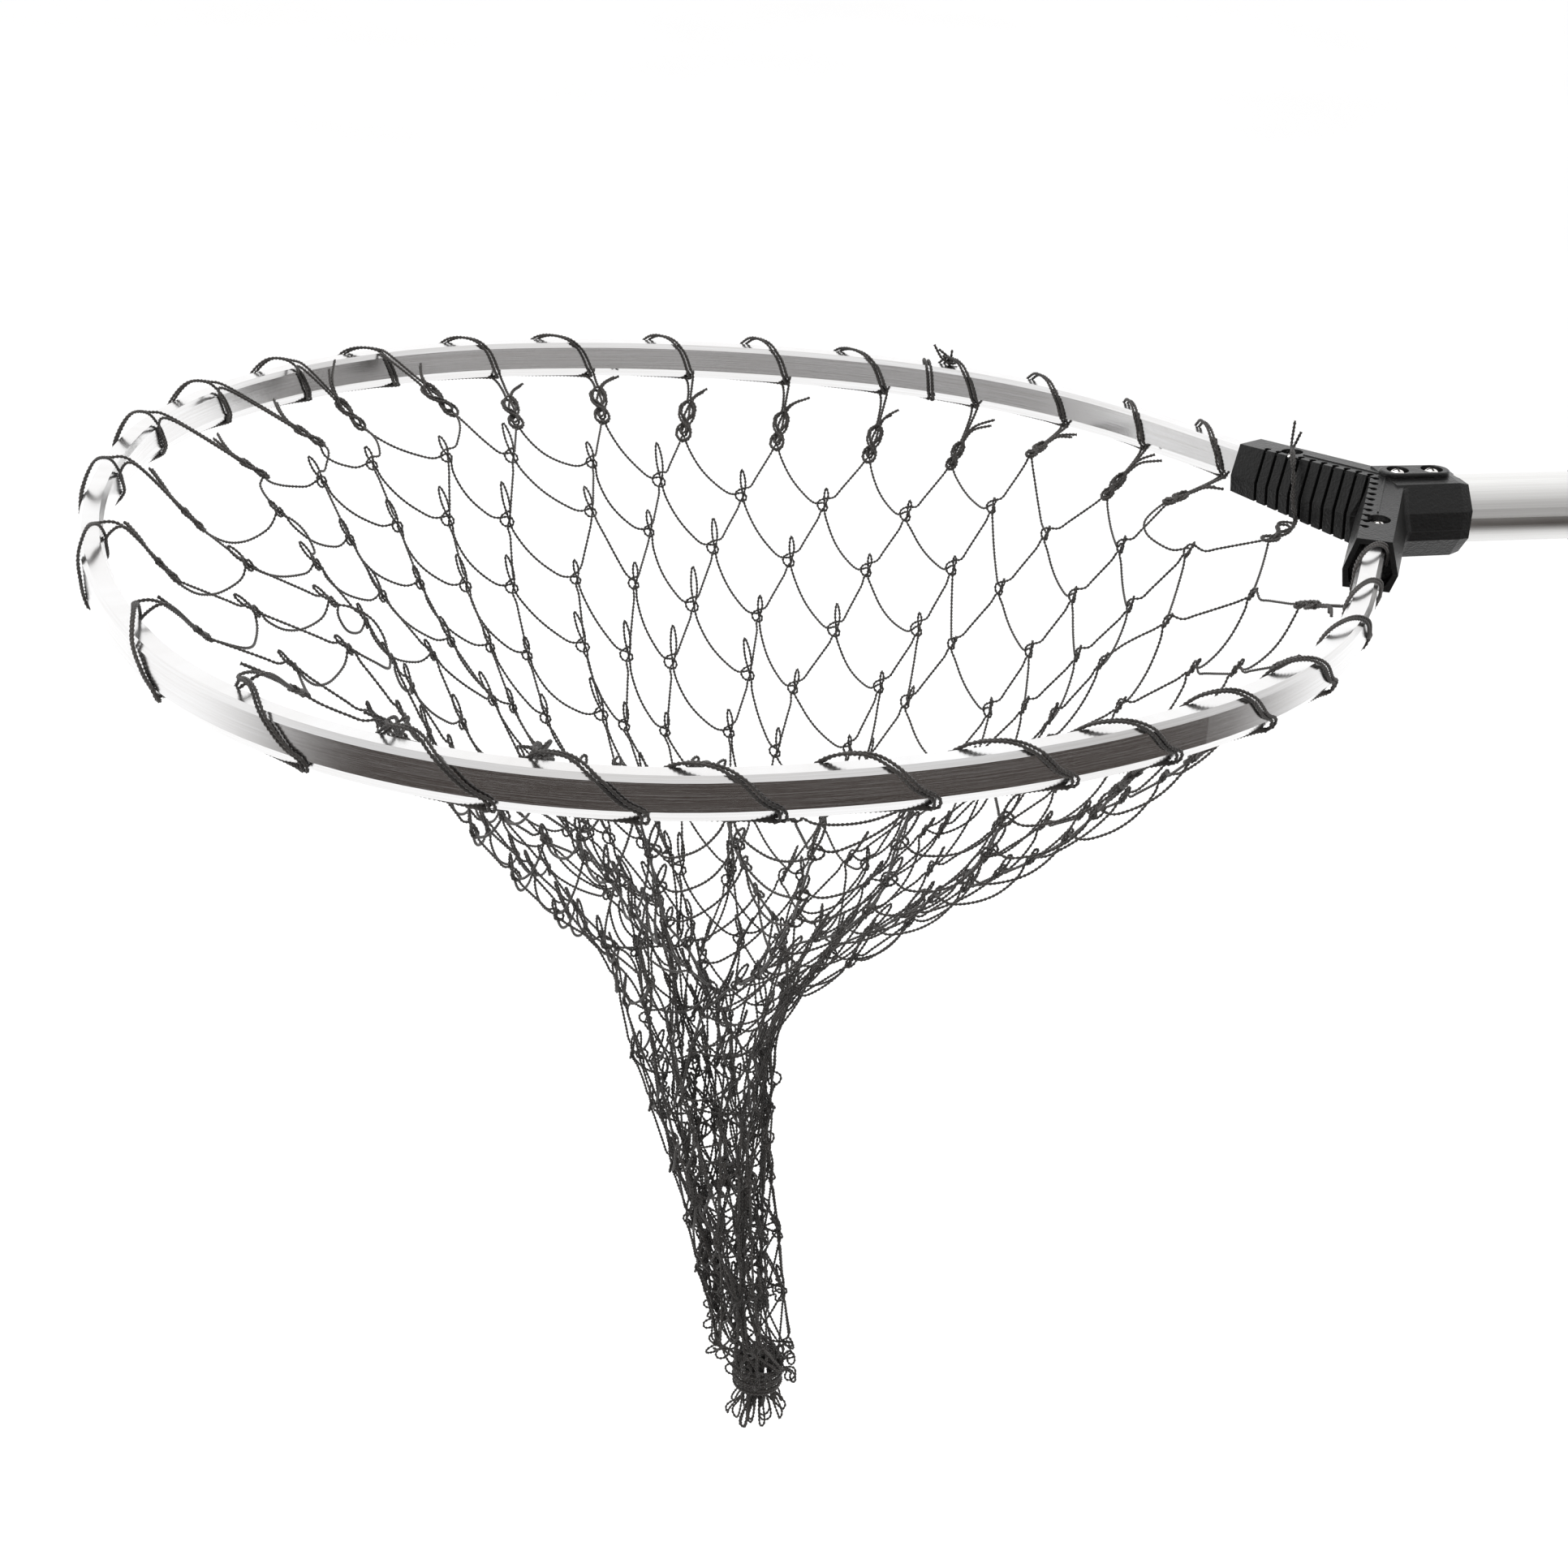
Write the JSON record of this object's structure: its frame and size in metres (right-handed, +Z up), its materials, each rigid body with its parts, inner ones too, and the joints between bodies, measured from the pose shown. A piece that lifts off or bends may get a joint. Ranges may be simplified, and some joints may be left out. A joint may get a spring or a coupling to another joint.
{
  "type": "landing net",
  "caption": "Landing net with a bent aluminium hoop in a moulded Y-shaped yoke, a knotted twine bag laced round the hoop, and a telescopic grooved handle with a twist lock.",
  "frame": {"origin": "centre of the grip, on the handle's axis", "axes": "+X from the hoop along the handle to the end cap, +Z up from the level hoop, +Y completes the right-handed frame"},
  "size_m": [1.0616, 0.5135, 0.4556],
  "materials": {
    "hoop_aluminium": "bare, brushed lengthwise",
    "handle_aluminium": "bare, satin drawn",
    "black_plastic": "moulded, fine spark texture",
    "inner_plastic": "moulded, smooth",
    "screw_steel": "zinc plated, bright",
    "rivet_aluminium": "plain",
    "grip_foam": "closed-cell foam, matt",
    "black_rubber": "moulded, matt",
    "twine": "two-ply twisted twine"
  },
  "bodies": {
    "rear_handle": {"rear_tube": "handle_aluminium", "collar_base": "black_plastic", "collar_rivets": "rivet_aluminium", "collet": "inner_plastic", "grip_sleeve": "grip_foam", "end_cap": "black_rubber", "end_cap_rivet": "rivet_aluminium"},
    "head": {"hoop_tube": "hoop_aluminium", "hoop_end_inserts": "inner_plastic", "yoke_upper_shell": "black_plastic", "yoke_lower_shell": "black_plastic", "boss_screws": "screw_steel", "boss_nuts": "screw_steel", "arm_screws": "screw_steel", "arm_nuts": "screw_steel", "front_tube": "handle_aluminium", "front_tube_plug": "inner_plastic", "guide_bush": "inner_plastic", "guide_bush_rivets": "rivet_aluminium", "rim_lacing": "twine", "net_bag": "twine", "net_column": "twine", "net_tail": "twine", "net_tie": "twine"},
    "lock_collar": {"lock_collar": "black_plastic"}
  },
  "joints": [
    {"name": "handle_extend", "type": "slide", "parent": "rear_handle", "child": "head", "axis": [-1, 0, 0], "range_m": [-0.055, 0.25]},
    {"name": "lock_twist", "type": "hinge", "parent": "rear_handle", "child": "lock_collar", "pos_m": [-0.305, 0, 0], "axis": [1, 0, 0], "range_deg": [0, 110]}
  ]
}
